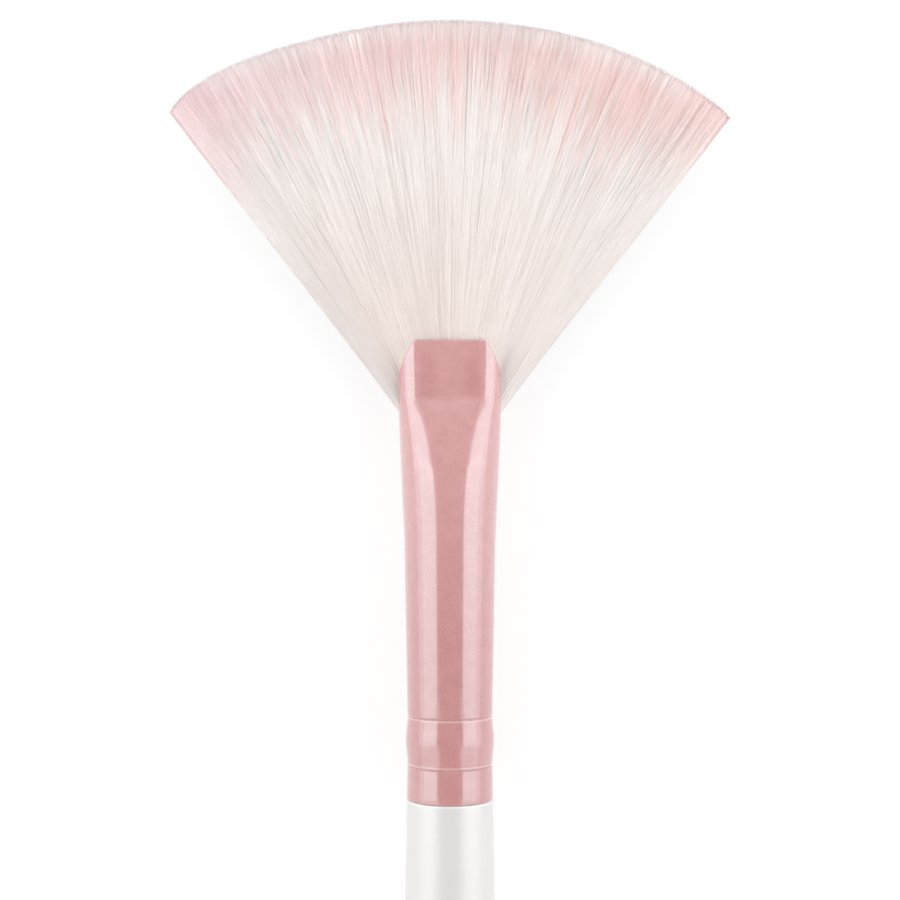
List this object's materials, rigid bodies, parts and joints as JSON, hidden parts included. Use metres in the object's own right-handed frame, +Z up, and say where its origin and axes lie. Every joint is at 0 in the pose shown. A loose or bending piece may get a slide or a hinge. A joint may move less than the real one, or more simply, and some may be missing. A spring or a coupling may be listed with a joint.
{
  "type": "fan makeup brush",
  "caption": "Fan makeup brush lying on a surface: a slim tapered handle, a crimped metal ferrule pressed flat at its mouth, and a wide thin fan of soft two-tone hair.",
  "frame": {"origin": "on the surface that the brush lies on, under the middle of its bounding box", "axes": "+Y along the brush from the handle's tail to the hair's tips, +Z up from the surface, square to the fan's face, X across the fan's width"},
  "size_m": [0.0558, 0.1893, 0.0094],
  "materials": {
    "pearl_lacquer": "gloss",
    "pink_lacquered_metal": "gloss",
    "hair": "satin",
    "resin": "gloss",
    "glue": "satin"
  },
  "bodies": {
    "root": {"handle": "pearl_lacquer", "ferrule": "pink_lacquered_metal", "hair_fan": "hair", "root_resin": "resin", "tenon_glue": "glue"}
  },
  "joints": []
}
